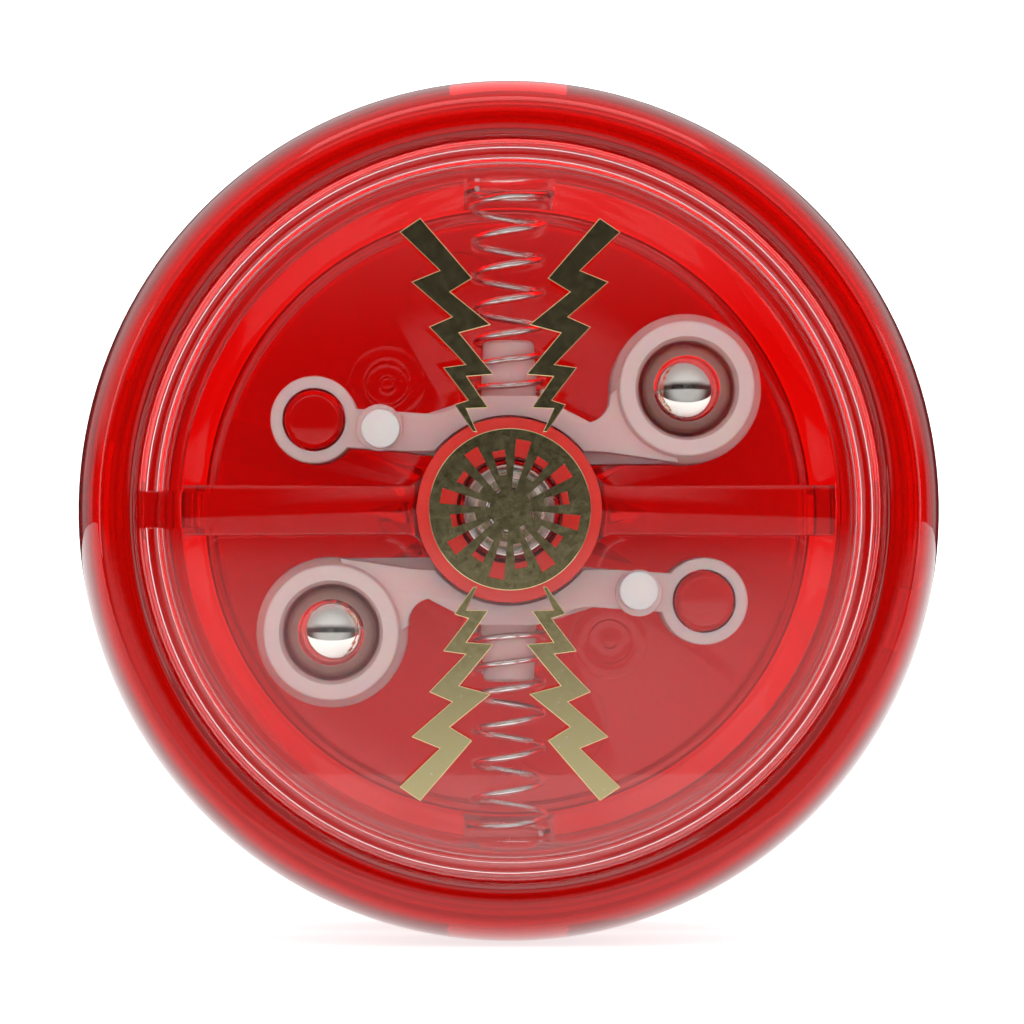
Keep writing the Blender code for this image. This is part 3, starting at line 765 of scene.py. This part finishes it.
def build():
    piece("clutch_half", clutch_half(), CLUTCH, "body", RED, "clutch_half_shell")
    piece("plain_half", plain_half(), PLAIN, "body", RED, "plain_half_shell")
    piece("clutch_window", cap(), CLUTCH, "body", CLEAR, "clutch_cap")
    piece("plain_window", cap(), PLAIN, "body", CLEAR, "plain_cap")
    piece("spindle", spindle(), CLUTCH, "spindle", RED, "spindle_drum")
    piece("axle_bar", axle(), CLUTCH, "body", TURNED_STEEL, "axle")
    piece("end_collar", end_collar(), CLUTCH, "body", TURNED_STEEL, "axle_end_collar")
    piece("hub_face", hub_face(), CLUTCH, "body", SATIN_RED)
    thrust = washer(SPINDLE_BORE, 3.57, 9.27, 9.53)
    piece("clutch_thrust_ring", thrust, CLUTCH, "body", NYLON, "clutch_thrust_washer")
    thrust = washer(SPINDLE_BORE, 2.48, 1.65, 2.15)
    piece("plain_thrust_ring", thrust, PLAIN, "body", NYLON, "plain_thrust_washer")
    flat = washer(AXLE_BORE, 3.47, 9.05, 9.5)
    piece("flat_washer", flat, PLAIN, "body", TURNED_STEEL, "nut_washer")
    piece("hex_nut", nut(), PLAIN, "body", TURNED_STEEL, "axle_nut")
    for side, turn, sign in (("upper", Matrix.Identity(4), 1), ("lower", HALF_TURN, -1)):
        place = CLUTCH @ turn
        body = f"{side}_arm"
        piece(f"{side}_lever", clutch_arm(), place, body, NYLON, f"clutch_arm_{side}")
        piece(f"{side}_ball", ball(), place, body, BALL_STEEL, f"weight_ball_{side}")
        node = f"clutch_spring_{side}"
        coil = piece(f"{side}_coil", spring(), place, "body", WIRE_STEEL, node)
        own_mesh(coil)
    for side, place in (("clutch", CLUTCH), ("plain", PLAIN)):
        node = f"{side}_foil_medallion"
        piece(f"{side}_medallion", medallion(), place, "body", FOIL, node, 12)
    foil_bolts()


# ---------------------------------------------------------------- studio

def floor():
    """A white sheet whose front edge is a finger's length from the object."""
    half_width, front, back = 1.6, -0.062, 2.4
    points = [(-half_width, front, 0), (half_width, front, 0)]
    points += [(half_width, back, 0), (-half_width, back, 0)]
    mesh = mesh_from(points, [[0, 1, 2, 3]])
    obj = bpy.data.objects.new("floor", mesh)
    obj.location.z = CAD_BOUNDS[0][2]
    look = Look("floor", Roughness=0.8)
    look.shader.inputs["Emission Color"].default_value = (1, 1, 1, 1)
    look.shader.inputs["Emission Strength"].default_value = 0.75
    look.link(look.blend(look.noise(3.0), (0.39, 0.39, 0.39), (0.41, 0.41, 0.41)), "Base Color")
    mesh.materials.append(look.material)
    bpy.context.scene.collection.objects.link(obj)


def softbox(name, at, size, power):
    """A soft light aimed at the object, seen in its gloss but not through it."""
    light = bpy.data.lights.new(name, "AREA")
    light.shape = "RECTANGLE"
    light.size, light.size_y = size
    light.energy = power
    obj = bpy.data.objects.new(name, light)
    obj.location = at
    obj.rotation_euler = (-Vector(at)).to_track_quat("-Z", "Y").to_euler()
    obj.visible_camera = obj.visible_transmission = False
    bpy.context.scene.collection.objects.link(obj)


def surroundings():
    """A white tent with a dark gap in its front where the camera looks in, above a pale table.

    The world has a level of white for each kind of light: seen directly, soft, mirrored once by an
    outside face, or mirrored once after passing into plastic and leaving to the back. Light that is
    mirrored more than once counts as direct, which lights the red rim through its thickness."""
    world = bpy.data.worlds.new("studio")
    bpy.context.scene.world = world
    world.use_nodes = True
    nodes, links = world.node_tree.nodes, world.node_tree.links

    def ramp(source, low, high, to_low, to_high):
        made = nodes.new("ShaderNodeMapRange")
        made.interpolation_type = "SMOOTHSTEP"
        for socket, value in zip(made.inputs[1:5], (low, high, to_low, to_high)):
            socket.default_value = value
        links.new(source, made.inputs[0])
        return made.outputs[0]

    def maths(operation, first, second):
        made = nodes.new("ShaderNodeMath")
        made.operation = operation
        for socket, value in zip(made.inputs, (first, second)):
            if isinstance(value, float):
                socket.default_value = value
            else:
                links.new(value, socket)
        return made.outputs[0]

    def mix(fac, first, second):
        made = nodes.new("ShaderNodeMix")
        links.new(fac, made.inputs["Factor"])
        for socket, value in zip(made.inputs[2:4], (first, second)):
            if isinstance(value, float):
                socket.default_value = value
            else:
                links.new(value, socket)
        return made.outputs[0]

    split = nodes.new("ShaderNodeSeparateXYZ")
    links.new(nodes.new("ShaderNodeTexCoord").outputs["Generated"], split.inputs[0])
    path = nodes.new("ShaderNodeLightPath")
    # Y is -1 in front and 1 behind, Z is -1 below and 1 above.
    forward, height = split.outputs["Y"], split.outputs["Z"]
    ceiling_on = ramp(height, 0.15, 0.40, 0.0, 1.0)
    table_to_gap = ramp(height, -0.044, 0.006, 0.38, 0.008)
    dark_gap = mix(ceiling_on, table_to_gap, 0.5)
    sides_on = ramp(forward, 0.45, 0.62, 0.02, 0.22)
    straight_behind_off = ramp(forward, 0.90, 0.95, 1.0, 0.05)
    back_low = maths("MULTIPLY", sides_on, straight_behind_off)
    back = mix(ramp(height, 0.10, 0.25, 0.0, 1.0), back_low, 0.32)
    outside = mix(ramp(forward, -0.9, -0.5, 1.0, 0.0), back, dark_gap)
    inside = maths("GREATER_THAN", path.outputs["Transmission Depth"], 0.5)
    to_the_back = ramp(forward, -0.3, 0.1, 0.0, 1.0)
    mirrored = mix(maths("MULTIPLY", inside, to_the_back), outside, 1.9)
    soft = ramp(forward, -0.9, 0.0, 1.3, 1.0)
    once = maths("GREATER_THAN", path.outputs["Glossy Depth"], 0.5)
    piped = maths("GREATER_THAN", path.outputs["Glossy Depth"], 1.5)
    is_mirrored = maths("SUBTRACT", once, piped)
    is_soft = maths("GREATER_THAN", path.outputs["Diffuse Depth"], 0.5)
    background = nodes["Background"]
    level = mix(is_mirrored, mix(is_soft, 1.0, soft), mirrored)
    white = 1.8
    links.new(maths("MULTIPLY", level, white), background.inputs["Strength"])
    background.inputs["Color"].default_value = (1, 1, 1, 1)


def camera():
    data = bpy.data.cameras.new("camera")
    data.lens = CAMERA_LENS
    data.sensor_width = CAMERA_SENSOR
    data.clip_start = 0.01
    obj = bpy.data.objects.new("camera", data)
    azimuth, elevation = math.radians(CAMERA_AZIMUTH), math.radians(CAMERA_ELEVATION)
    away = Vector((
        math.sin(azimuth) * math.cos(elevation),
        -math.cos(azimuth) * math.cos(elevation),
        math.sin(elevation),
    ))
    obj.location = CAMERA_TARGET + away * CAMERA_DISTANCE
    obj.rotation_euler = (-away).to_track_quat("-Z", "Y").to_euler()
    bpy.context.scene.collection.objects.link(obj)
    bpy.context.scene.camera = obj


camera()
build()
floor()
surroundings()
softbox("top_light", (0.0, -0.10, 0.50), (0.55, 0.30), 0.78)
softbox("left_light", (-0.45, -0.18, 0.10), (0.12, 0.30), 0.20)
softbox("right_light", (0.45, -0.16, 0.05), (0.16, 0.34), 0.28)

scene = bpy.context.scene
scene.view_settings.view_transform = "Standard"
scene.cycles.max_bounces = 16
scene.cycles.transmission_bounces = 16
scene.cycles.glossy_bounces = 6
scene.cycles.sample_clamp_indirect = 4.0
scene.cycles.diffuse_bounces = 4
